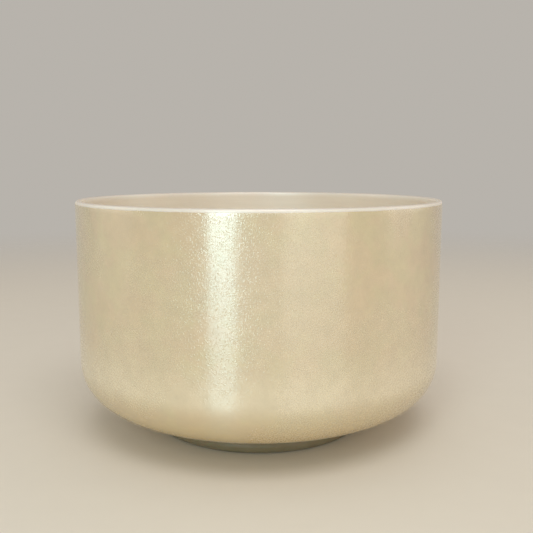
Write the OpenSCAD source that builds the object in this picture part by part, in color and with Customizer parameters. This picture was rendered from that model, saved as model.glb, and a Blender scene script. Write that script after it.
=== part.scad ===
// Crystal singing bowl standing on its support ring.
// A thin fused quartz bowl with a rounded rim carries a thin pearl coating on its outside, and its
// shallow domed bottom rests on a loose silicone O-ring.
// Millimetres. The origin is the centre of the ring's foot, and +Z is up along the bowl's axis.

/* [Bowl] */
// Outside diameter over the coating
bowl_d = 254; // [244:1:290]
// Height of the rim above the table, ring included
rim_h = 160; // [120:1:200]
// Thickness of the quartz
wall_t = 3.3; // [2.5:0.1:6]
// Outside radius of the rounded corner between wall and bottom
corner_r = 31; // [24:1:38]
// Outside radius of the shallow dome that forms the bottom
dome_r = 327; // [320:1:600]

/* [Pearl coating] */
// Thickness of the coating
coat_t = 0.2; // [0.1:0.05:0.5]
// Height of the bare quartz between the coating's edge and the top of the rim
bare_rim_h = 2.2; // [2:0.1:8]

/* [Support ring] */
// Outside diameter of the ring
ring_d = 152.4; // [130:0.1:160]
// Thickness of the round cord that the ring is made of
ring_cord_d = 10; // [9:0.5:14]
// Width of the flat that the ring presses out on the table
foot_w = 2.4; // [1:0.1:4]
// Clearance between the ring and the coating above it
seat_gap = 0.3; // [0.2:0.05:0.5]

/* [Hidden] */

bowl_r = bowl_d / 2;
cord_r = ring_cord_d / 2;
ring_r = ring_d / 2 - cord_r;                       // radius of the cord's centre line
cord_z = sqrt(pow(cord_r, 2) - pow(foot_w / 2, 2)); // height of the cord's centre line

// The dome lies over the cord along a circle, one seat_gap away from it
dome_z = cord_z + sqrt(pow(dome_r + cord_r + seat_gap, 2) - pow(ring_r, 2));

// The corner is an arc that leaves the dome and meets the wall without a kink.
// corner_x is its centre's distance from the axis, and dome_rise is how far below the dome's
// centre it lies. The bowl's sections are drawn from the level of that corner centre, corner_z.
corner_x = bowl_r - corner_r;
dome_rise = sqrt(pow(dome_r - corner_r, 2) - pow(corner_x, 2));
corner_z = dome_z - dome_rise;
coat_top = rim_h - bare_rim_h - corner_z;

lip_r = wall_t / 2;
lip_level = rim_h - lip_r - corner_z;

arc_fn = 256;
small_arc_fn = 96;

// Half section of all that lies within the bowl's outside moved inwards by depth,
// from the axis to the wall and from under the dome up to the level top
module filled_section(depth, top) {
    corner = [corner_x, 0];
    seam_end = corner + 2 * corner_r * [corner_x, -dome_rise] / (dome_r - corner_r);
    far = bowl_r + corner_r;
    intersection() {
        translate([0, dome_rise]) circle(r = dome_r - depth, $fn = 2 * arc_fn);
        polygon([[0, 0], corner, seam_end, [0, seam_end.y]]);
    }
    intersection() {
        translate(corner) circle(r = corner_r - depth, $fn = arc_fn);
        polygon([corner, seam_end, [far, seam_end.y], [far, 0]]);
    }
    square([bowl_r - depth, top]);
}

// Fused quartz body: one wall thickness from the bottom's centre to the half-round lip
module quartz_bowl() {
    color([0.95, 0.93, 0.88])
        translate([0, 0, corner_z])
            rotate_extrude($fn = arc_fn) {
                difference() {
                    filled_section(coat_t, lip_level);
                    filled_section(coat_t + wall_t, lip_level + lip_r);
                }
                intersection() {
                    translate([bowl_r - coat_t - lip_r, lip_level])
                        circle(r = lip_r, $fn = small_arc_fn);
                    translate([bowl_r - coat_t - wall_t, lip_level]) square([wall_t, wall_t]);
                }
            }
}

// Pearl coating: a skin bonded to the quartz from under the bottom up to the bare rim
module pearl_coating() {
    color([0.85, 0.79, 0.66])
        translate([0, 0, corner_z])
            rotate_extrude($fn = arc_fn)
                difference() {
                    filled_section(0, coat_top);
                    filled_section(coat_t, coat_top + bare_rim_h);
                }
}

// Silicone O-ring, pressed flat where it stands on the table
module support_ring() {
    color([0.62, 0.62, 0.56, 0.8])
        rotate_extrude($fn = arc_fn)
            intersection() {
                translate([ring_r, cord_z]) circle(r = cord_r, $fn = small_arc_fn);
                translate([ring_r - cord_r, 0]) square([ring_cord_d, ring_cord_d]);
            }
}

quartz_bowl();
pearl_coating();
support_ring();
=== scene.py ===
"""A crystal singing bowl on its silicone ring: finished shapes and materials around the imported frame.

Everything is in metres in the frame's own axes: the origin is the centre of the ring's foot and +Z is up.
The three CAD solids are right in size but plain, so each is replaced by a denser turned mesh that has the
small irregularities of the real thing: a hand-worked quartz wall, the uneven edge of the pearl coating
and the ring's mould line. All sizes come from the frame's boxes and the few named values below.
"""

import math

import bpy
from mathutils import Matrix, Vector, noise


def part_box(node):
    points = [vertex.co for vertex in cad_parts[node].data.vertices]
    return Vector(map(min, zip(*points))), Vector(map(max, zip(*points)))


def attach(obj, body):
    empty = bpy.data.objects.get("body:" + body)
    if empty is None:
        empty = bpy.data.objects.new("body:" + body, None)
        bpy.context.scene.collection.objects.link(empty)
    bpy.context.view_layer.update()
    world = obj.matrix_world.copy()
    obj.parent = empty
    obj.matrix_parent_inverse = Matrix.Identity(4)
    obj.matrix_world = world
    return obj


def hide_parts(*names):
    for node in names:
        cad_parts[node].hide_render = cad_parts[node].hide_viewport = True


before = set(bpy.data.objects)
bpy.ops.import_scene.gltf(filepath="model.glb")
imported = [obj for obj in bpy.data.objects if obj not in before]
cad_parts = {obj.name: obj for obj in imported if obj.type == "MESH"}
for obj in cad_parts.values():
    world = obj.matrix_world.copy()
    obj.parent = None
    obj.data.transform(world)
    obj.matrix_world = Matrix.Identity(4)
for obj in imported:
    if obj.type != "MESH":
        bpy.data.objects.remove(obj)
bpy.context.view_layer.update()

# The bowl's section
WALL = 0.0033
CORNER_R = 0.031
DOME_R = 0.327

# The ring's section, how far it swells to meet the bowl that presses on it and how narrow that swelling
# is, and the height and half width of its mould line, the width as a part of the cord's radius
CORD_R = 0.005
SEAT_SWELL = 0.00027
SEAT_POWER = 10
MOULD_RIDGE = 0.00012
MOULD_WIDTH = 0.08

# How far the hand-worked shapes stray from true, and the parts of that in their finer waves
WALL_STRAY = 0.00016
WALL_FINE = 0.45
EDGE_STRAY = 0.00022
EDGE_FINE = 0.6
RIM_STRAY = 0.00006

# Their waves: how many around the bowl, how many per metre up, and the noise's seed
WALL_WAVES = (5, 9, 1)
WALL_FINE_WAVES = (14, 32, 2)
RIM_WAVES = (9, 0, 3)
EDGE_WAVES = (26, 0, 4)
EDGE_FINE_WAVES = (90, 0, 5)
SEED_STEP = 17.3

# Inside this radius the bottom is true, and the coating strays only this close to its upper edge
TRUE_R = 0.02
EDGE_REACH = 0.004

# The coating's inner side, a little deeper than the coating is thick so that it never shares a surface
# with the quartz, and how far its rounded edge turns over
SKIN_DEPTH = 1.1
EDGE_TURN = math.pi * 1.4

TURNS = 288
DOME_STEPS = 44
CORNER_STEPS = 22
WALL_STEPS = 34
LIP_STEPS = 16
EDGE_STEPS = 5
CORD_STEPS = 40
ON_AXIS = 1e-7

# The camera: its place in bowl radii in front of and above the origin, its tilt and turn, and its lens
CAMERA_BACK = 3.9255
CAMERA_UP = 1.436
CAMERA_PITCH = 0.1426
CAMERA_YAW = 0.0106
LENS_MM = 47.0
SENSOR_MM = 36
CLIP_NEAR, CLIP_FAR = 0.01, 100

# The floor's radius, and the parts of it between which it fades into the backdrop
FLOOR_REACH = 5.0
FADE_START, FADE_END = 0.09, 0.34

AIR_COLOUR = (0.62, 0.585, 0.535, 1)
AIR_STRENGTH = 0.77

# Each soft light's name, azimuth, elevation, distance, width, height, power and colour: a high key, an
# upright strip that makes the pearl's bright band, a wide panel right of it, and fills around the rest
SOFTBOXES = (
    ("key_above", 8, 58, 1.5, 0.9, 0.7, 5.6, (1.0, 0.97, 0.93)),
    ("strip_left", -20.5, 17, 1.27, 0.33, 0.9, 3.4, (0.77, 1.0, 0.99)),
    ("panel_right", 31, 15, 1.30, 0.85, 0.9, 1.5, (1.0, 0.98, 0.84)),
    ("fill_left", -95, 20, 1.4, 0.9, 0.7, 1.2, (1.0, 0.93, 0.80)),
    ("fill_right", 95, 20, 1.4, 0.9, 0.7, 1.4, (1.0, 0.93, 0.80)),
    ("back_above", 170, 50, 1.6, 1.2, 0.6, 1, (1.0, 0.96, 0.90)),
)

quartz_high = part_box("quartz_bowl")[1]
coat_low, coat_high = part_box("pearl_coating")
ring_low, ring_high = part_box("support_ring")

BOWL_R = coat_high.x
COAT = coat_high.x - quartz_high.x
RIM_Z = quartz_high.z
COAT_TOP = coat_high.z
DOME_Z = coat_low.z + DOME_R
CORNER_X = BOWL_R - CORNER_R
DOME_RISE = math.sqrt((DOME_R - CORNER_R) ** 2 - CORNER_X ** 2)
CORNER_Z = DOME_Z - DOME_RISE
SEAM = math.asin(CORNER_X / (DOME_R - CORNER_R))
LIP_R = WALL / 2
LIP_Z = RIM_Z - LIP_R
LIP_X = BOWL_R - COAT - LIP_R
CORD_X = ring_high.x - CORD_R
CORD_Z = ring_high.z - CORD_R


# ---------------------------------------------------------------- turned shapes

def arc(x, z, radius, start, end, steps):
    """Points (r, z) on an arc, with angles from straight down towards the outside."""
    turns = [start + (end - start) * i / steps for i in range(steps + 1)]
    return [(x + radius * math.sin(a), z - radius * math.cos(a)) for a in turns]


def shell_line(depth, top):
    """The bowl's section line depth inside its outside, from the axis to the level top on the wall."""
    dome = arc(0, DOME_Z, DOME_R - depth, 0, SEAM, DOME_STEPS)
    corner = arc(CORNER_X, CORNER_Z, CORNER_R - depth, SEAM, math.pi / 2, CORNER_STEPS)
    rise = (top - CORNER_Z) / WALL_STEPS
    wall = [(BOWL_R - depth, CORNER_Z + rise * i) for i in range(1, WALL_STEPS + 1)]
    return dome + corner[1:] + wall


def turned(name, section, closed, move):
    """A mesh turned from section about Z. move(angle, r, z) gives each point's true r and z."""
    verts, rings = [], []
    for r, z in section:
        if r < ON_AXIS:
            rings.append([len(verts)] * TURNS)
            verts.append((0, 0, z))
            continue
        rings.append(list(range(len(verts), len(verts) + TURNS)))
        for i in range(TURNS):
            angle = 2 * math.pi * i / TURNS
            true_r, true_z = move(angle, r, z)
            verts.append((true_r * math.cos(angle), true_r * math.sin(angle), true_z))
    faces = []
    pairs = list(zip(rings, rings[1:])) + ([(rings[-1], rings[0])] if closed else [])
    for low, high in pairs:
        for i in range(TURNS):
            j = (i + 1) % TURNS
            corners = dict.fromkeys((low[i], low[j], high[j], high[i]))
            if len(corners) > 2:
                faces.append(tuple(corners))
    mesh = bpy.data.meshes.new(name)
    mesh.from_pydata(verts, [], faces)
    mesh.validate()
    mesh.shade_smooth()
    piece = bpy.data.objects.new(name, mesh)
    bpy.context.scene.collection.objects.link(piece)
    return piece


def eased(value, low, high):
    """0 below low, 1 above high, and smooth between them."""
    t = min(1, max(0, (value - low) / (high - low)))
    return t * t * (3 - 2 * t)


def ripple(angle, z, around, up, seed):
    """Smooth noise from -1 to 1 on the wall, with about that many waves around and per metre up."""
    reach = around / 3
    spot = Vector((reach * math.cos(angle), reach * math.sin(angle), up * z + SEED_STEP * seed))
    return noise.noise(spot)


def blown(angle, r, z):
    """Where the hand-worked wall truly lies: broad, shallow waves that fade out under the bottom."""
    fade = eased(r, TRUE_R, CORNER_X)
    stray = ripple(angle, z, *WALL_WAVES) + WALL_FINE * ripple(angle, z, *WALL_FINE_WAVES)
    return r + WALL_STRAY * fade * stray, z


def quartz_point(angle, r, z):
    """The quartz's true surface: the wall's waves, and a rim ground almost level."""
    true_r, true_z = blown(angle, r, z)
    lift = RIM_STRAY * eased(z, COAT_TOP, RIM_Z) * ripple(angle, z, *RIM_WAVES)
    return true_r, true_z + lift


def coating_point(angle, r, z):
    """The coating's true surface: it follows the wall, and its upper edge is slightly uneven."""
    true_r, true_z = blown(angle, r, z)
    near_edge = eased(z, COAT_TOP - EDGE_REACH, COAT_TOP)
    stray = ripple(angle, z, *EDGE_WAVES) + EDGE_FINE * ripple(angle, z, *EDGE_FINE_WAVES)
    return true_r, true_z + EDGE_STRAY * near_edge * stray


def quartz_body():
    """Fused quartz: outside, half-round lip, and inside down to the dished floor."""
    outside = shell_line(COAT, LIP_Z)
    lip = arc(LIP_X, LIP_Z, LIP_R, math.pi / 2, 3 * math.pi / 2, LIP_STEPS)
    inside = shell_line(COAT + WALL, LIP_Z)
    return turned("crystal_body", outside + lip[1:-1] + inside[::-1], False, quartz_point)


def pearl_skin():
    """The coating: a thin skin whose rounded upper edge stands a hair proud of the bare quartz."""
    edge_r = COAT / 2
    edge_z = COAT_TOP - edge_r
    outside = shell_line(0, edge_z)
    edge = arc(BOWL_R - edge_r, edge_z, edge_r, math.pi / 2, EDGE_TURN, EDGE_STEPS)
    inside = shell_line(COAT * SKIN_DEPTH, edge_z)
    return turned("pearl_skin", outside + edge[1:] + inside[::-1], False, coating_point)


def silicone_ring():
    """The ring's cord: flat where it stands, swollen where the bowl presses on it, with a mould line."""
    foot = math.acos(CORD_Z / CORD_R)
    towards_dome = math.atan2(-CORD_X, -(DOME_Z - CORD_Z))
    section = []
    for i in range(CORD_STEPS + 1):
        a = foot + (2 * math.pi - 2 * foot) * i / CORD_STEPS
        swell = SEAT_SWELL * max(0, math.cos(a - towards_dome)) ** SEAT_POWER
        ridge = MOULD_RIDGE * max(0, 1 - abs(math.cos(a)) / MOULD_WIDTH)
        radius = CORD_R + swell + ridge
        section.append((CORD_X + radius * math.sin(a), CORD_Z - radius * math.cos(a)))
    return turned("silicone_ring", section, True, lambda angle, r, z: (r, z))


# ---------------------------------------------------------------- materials

class Look:
    """One material, with short ways to add nodes to it. Lengths are in metres of the object."""

    def __init__(self, name):
        self.material = bpy.data.materials.new(name)
        self.material.use_nodes = True
        self.tree = self.material.node_tree
        self.shader = self.tree.nodes["Principled BSDF"]
        self.place = self.node("ShaderNodeTexCoord").outputs["Object"]

    def node(self, kind, **settings):
        made = self.tree.nodes.new(kind)
        for key, value in settings.items():
            setattr(made, key, value)
        return made

    def put(self, socket, value):
        """Links value to the socket if it is an output, or else sets it."""
        if isinstance(value, bpy.types.NodeSocket):
            self.tree.links.new(value, socket)
        else:
            socket.default_value = value

    def set(self, **values):
        """Sets or links the shader's sockets, named with _ for each space."""
        for key, value in values.items():
            self.put(self.shader.inputs[key.replace("_", " ")], value)

    def stretched(self, x, y, z):
        """The place with each axis scaled, for a noise that is shorter along the larger ones."""
        made = self.node("ShaderNodeMapping")
        self.put(made.inputs["Vector"], self.place)
        made.inputs["Scale"].default_value = (x, y, z)
        return made.outputs["Vector"]

    def noise(self, size, detail=2, roughness=0.5, place=None):
        """Noise of features about size across, from 0 to 1."""
        made = self.node("ShaderNodeTexNoise")
        self.put(made.inputs["Vector"], place or self.place)
        made.inputs["Scale"].default_value = 1 / size
        made.inputs["Detail"].default_value = detail
        made.inputs["Roughness"].default_value = roughness
        return made.outputs["Fac"]

    def cells(self, size):
        """How far it is to the nearest of scattered points about size apart, in sizes."""
        made = self.node("ShaderNodeTexVoronoi", feature="SMOOTH_F1")
        self.put(made.inputs["Vector"], self.place)
        made.inputs["Scale"].default_value = 1 / size
        return made.outputs["Distance"]

    def height(self):
        made = self.node("ShaderNodeSeparateXYZ")
        self.put(made.inputs[0], self.place)
        return made.outputs["Z"]

    def around_z(self):
        """The direction around the Z axis, from which the turn of a stretched gloss is measured."""
        return self.node("ShaderNodeTangent", direction_type="RADIAL", axis="Z").outputs[0]

    def span(self, value, low, high, to_low=0.0, to_high=1.0, smooth=True):
        """value between low and high, taken to between to_low and to_high and held there."""
        kind = "SMOOTHSTEP" if smooth else "LINEAR"
        made = self.node("ShaderNodeMapRange", interpolation_type=kind)
        for socket, number in zip(("Value", "From Min", "From Max", "To Min", "To Max"),
                                  (value, low, high, to_low, to_high)):
            self.put(made.inputs[socket], number)
        return made.outputs["Result"]

    def sum(self, a, b, operation="ADD"):
        """The two values added, or joined by another operation."""
        made = self.node("ShaderNodeMath", operation=operation)
        self.put(made.inputs[0], a)
        self.put(made.inputs[1], b)
        return made.outputs[0]

    def mix(self, factor, a, b):
        """Two colours mixed by factor, 0 for a and 1 for b."""
        made = self.node("ShaderNodeMix", data_type="RGBA", blend_type="MIX")
        self.put(made.inputs[0], factor)
        for socket, colour in ((made.inputs[6], a), (made.inputs[7], b)):
            self.put(socket, colour if isinstance(colour, bpy.types.NodeSocket) else (*colour, 1))
        return made.outputs[2]

    def bump(self, height, depth, below=None):
        """A bump of that depth in metres, over the bump below it."""
        made = self.node("ShaderNodeBump")
        made.inputs["Distance"].default_value = depth
        self.put(made.inputs["Height"], height)
        if below:
            self.put(made.inputs["Normal"], below)
        return made.outputs["Normal"]


def pearl_look():
    """Fired pearl lustre: cream with pink and yellow-green drifts, over a fine orange-peel grain."""
    look = Look("pearl_lustre")
    pink, green, cream = (0.835, 0.612, 0.350), (0.815, 0.642, 0.347), (0.835, 0.664, 0.422)
    # pale is painted light: the floor's light on the belt at the corner
    pale, gold_and_painted_reflection, dusk = (0.950, 0.770, 0.500), (0.660, 0.430, 0.125), (0.580, 0.450, 0.250)
    height = look.height()
    drift = look.span(look.noise(0.022, 3, 0.65), 0.38, 0.62)
    patch = look.span(look.noise(0.075, 2), 0.35, 0.65)
    colour = look.mix(drift, pink, green)
    colour = look.mix(look.span(patch, 0, 1, 0, 0.45), colour, cream)
    # Painted light: a paler belt where the corner meets the wall, for the light that the floor throws up
    # on it. Gold further down, partly a thicker coating and partly a painted warm reflection and shade
    above = look.span(height, CORNER_Z * 0.80, CORNER_Z * 1.05)
    below = look.span(height, CORNER_Z * 1.05, CORNER_Z * 1.6, 1, 0)
    painted_light_belt = look.sum(above, below, "MULTIPLY")
    colour = look.mix(look.sum(painted_light_belt, 0.80, "MULTIPLY"), colour, pale)
    # Gold towards the bottom: partly a thicker coating, partly a painted warm reflection and shade
    colour = look.mix(look.span(height, CORNER_Z * 0.35, CORNER_Z * 1.05, 1, 0), colour, gold_and_painted_reflection)
    shade = look.span(look.noise(0.009, 3, 0.6), 0.30, 0.70, 0.30, 0, False)
    colour = look.mix(shade, colour, dusk)
    # The orange peel and the grain on it grow weak on the corner and under the bottom
    upper = look.span(height, CORNER_Z * 0.8, CORNER_Z * 1.3, 0.1, 1)
    peel = look.sum(look.noise(0.0020, 1, 0.4), upper, "MULTIPLY")
    grain = look.sum(look.span(look.noise(0.00105, 1, 0.5), 0.52, 0.70), upper, "MULTIPLY")
    bump = look.bump(grain, 0.000047, look.bump(peel, 0.00002))
    frost = look.span(look.noise(0.0012, 1, 0.6), 0.44, 0.62, 0, 0.02)
    rough = look.sum(look.span(patch, 0, 1, 0.24, 0.27), frost)
    look.set(Base_Color=colour, Roughness=rough, Normal=bump, Metallic=0.12,
             Specular_IOR_Level=1.0, Specular_Tint=(0.69, 0.86, 1.0, 1), IOR=2.2,
             Anisotropic=1.0, Anisotropic_Rotation=0.25, Tangent=look.around_z(),
             Coat_Weight=0.80, Coat_Roughness=0.25)
    return look.material


def quartz_look():
    """Frosted fused quartz: a smoother white lip, and a matt inside that the coating behind it warms."""
    look = Look("frosted_quartz")
    warm, warm_light, warm_dark = (0.860, 0.762, 0.632), (0.885, 0.793, 0.662), (0.772, 0.685, 0.565)
    rosy_white, clear_white = (0.910, 0.815, 0.735), (0.905, 0.835, 0.750)
    # ground is a painted shade colour for the lip's crown
    ground, glint = (0.560, 0.460, 0.380), (0.95, 0.93, 0.90)
    height = look.height()
    lip = look.span(height, COAT_TOP - 0.0022, COAT_TOP + 0.0006)
    streak = look.noise(0.05, 3, 0.6, look.stretched(1, 1, 22))
    cloud = look.span(look.noise(0.045, 2), 0.3, 0.7)
    inside = look.mix(cloud, warm, warm_light)
    inside = look.mix(look.span(streak, 0.4, 0.65, 0, 0.35), inside, warm_dark)
    colour = look.mix(lip, inside, look.mix(cloud, rosy_white, clear_white))
    # Painted shade: the lip's crown is a little darker, for the shade and dark reflection on the top of
    # the lip
    painted_lip_shade = look.span(height, RIM_Z - 0.0009, RIM_Z - 0.0001, 0, 0.6)
    colour = look.mix(painted_lip_shade, colour, ground)
    bubble = look.span(look.cells(0.0021), 0.05, 0.18, 0.35, 0)
    colour = look.mix(bubble, colour, glint)
    frost = look.noise(0.0006, 3, 0.6)
    bump = look.bump(frost, 0.000035, look.bump(streak, 0.00010))
    rough = look.span(lip, 0, 1, 0.58, 0.44)
    look.set(Base_Color=colour, Roughness=rough, Normal=bump, Specular_IOR_Level=1.0, IOR=2.1,
             Anisotropic=0.8, Anisotropic_Rotation=0.25, Tangent=look.around_z(),
             Subsurface_Weight=0.35, Subsurface_Radius=(1.0, 0.85, 0.7), Subsurface_Scale=0.004)
    return look.material


def silicone_look():
    """Milky grey silicone: satin, slightly translucent, with a few specks of dust. Its colours are
    painted darker and browner: painted shade under the bowl and painted warm bounce light.
    """
    look = Look("milky_silicone")
    # The two colours are a milky grey painted darker and browner: painted shade under the bowl and
    # painted warm bounce light
    shaded_deep, shaded_milky, dusty = (0.245, 0.208, 0.128), (0.285, 0.248, 0.163), (0.55, 0.54, 0.50)
    colour = look.mix(look.span(look.noise(0.012, 2), 0.3, 0.7), shaded_deep, shaded_milky)
    dust = look.span(look.noise(0.0016, 4, 0.7), 0.62, 0.74, 0, 0.35)
    colour = look.mix(dust, colour, dusty)
    bump = look.bump(look.noise(0.0022, 3, 0.5), 0.00004)
    rough = look.span(look.noise(0.006, 3), 0.3, 0.7, 0.30, 0.42)
    look.set(Base_Color=colour, Roughness=rough, Normal=bump, Specular_IOR_Level=0.4,
             Subsurface_Weight=0.30, Subsurface_Scale=0.003)
    return look.material


# ---------------------------------------------------------------- the set

def floor_look():
    """Plain pale paper that fades into the backdrop towards the floor's edge."""
    look = Look("studio_paper")
    length = look.node("ShaderNodeVectorMath", operation="LENGTH")
    look.put(length.inputs[0], look.place)
    solid = look.span(length.outputs["Value"], FLOOR_REACH * FADE_START, FLOOR_REACH * FADE_END, 1, 0)
    dim, bright = (0.810, 0.755, 0.675), (0.830, 0.775, 0.695)
    tone = look.mix(look.noise(0.02, 3), dim, bright)
    look.set(Base_Color=tone, Roughness=0.75, Specular_IOR_Level=0.2, Alpha=solid,
             Normal=look.bump(look.noise(0.0011, 3), 0.00003))
    return look.material


def make_floor():
    """A round floor at the level that the ring stands on."""
    bpy.ops.mesh.primitive_circle_add(vertices=96, radius=FLOOR_REACH, fill_type="NGON",
                                      location=(0, 0, ring_low.z))
    floor = bpy.context.object
    floor.name = "studio_floor"
    floor.data.materials.append(floor_look())


def aimed(holder, place, target):
    """Puts holder at place, looking at target."""
    holder.location = place
    holder.rotation_euler = (Vector(target) - Vector(place)).to_track_quat("-Z", "Y").to_euler()


def around(azimuth, elevation, distance, centre):
    """A point at that distance from centre. Azimuth 0 is in front, at -Y, and 90 is at +X."""
    a, e = math.radians(azimuth), math.radians(elevation)
    flat = distance * math.cos(e)
    return Vector(centre) + Vector((flat * math.sin(a), -flat * math.cos(a), distance * math.sin(e)))


def softbox(name, azimuth, elevation, distance, width, height, power, colour):
    """A rectangular soft light that faces the bowl and isn't seen itself."""
    lamp = bpy.data.lights.new(name, "AREA")
    lamp.shape = "RECTANGLE"
    lamp.size, lamp.size_y = width, height
    lamp.energy = power
    lamp.color = colour
    holder = bpy.data.objects.new(name, lamp)
    bpy.context.scene.collection.objects.link(holder)
    centre = (0, 0, RIM_Z / 2)
    aimed(holder, around(azimuth, elevation, distance, centre), centre)
    holder.visible_camera = False


def make_lights():
    """The soft lights, and the even light of the studio's air."""
    for settings in SOFTBOXES:
        softbox(*settings)
    world = bpy.data.worlds.new("studio_air")
    world.use_nodes = True
    sky = world.node_tree.nodes["Background"]
    sky.inputs["Color"].default_value = AIR_COLOUR
    sky.inputs["Strength"].default_value = AIR_STRENGTH
    bpy.context.scene.world = world
    bpy.context.scene.view_settings.view_transform = "Standard"


def make_camera():
    """The camera, about four bowl radii in front, a little above the rim and looking slightly down."""
    lens = bpy.data.cameras.new("camera")
    lens.sensor_width = SENSOR_MM
    lens.lens = LENS_MM
    lens.clip_start, lens.clip_end = CLIP_NEAR, CLIP_FAR
    camera = bpy.data.objects.new("camera", lens)
    bpy.context.scene.collection.objects.link(camera)
    camera.location = (0, -CAMERA_BACK * BOWL_R, CAMERA_UP * BOWL_R)
    camera.rotation_euler = (math.pi / 2 - CAMERA_PITCH, 0, -CAMERA_YAW)
    bpy.context.scene.camera = camera


def place(piece, body, node, slot, material):
    """The piece takes the node's place, body and finish."""
    piece.data.materials.append(material)
    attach(piece, body)
    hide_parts(node)


make_camera()
place(quartz_body(), "bowl", "quartz_bowl", "frosted_quartz", quartz_look())
place(pearl_skin(), "bowl", "pearl_coating", "pearl_coating", pearl_look())
place(silicone_ring(), "ring", "support_ring", "silicone", silicone_look())
make_floor()
make_lights()
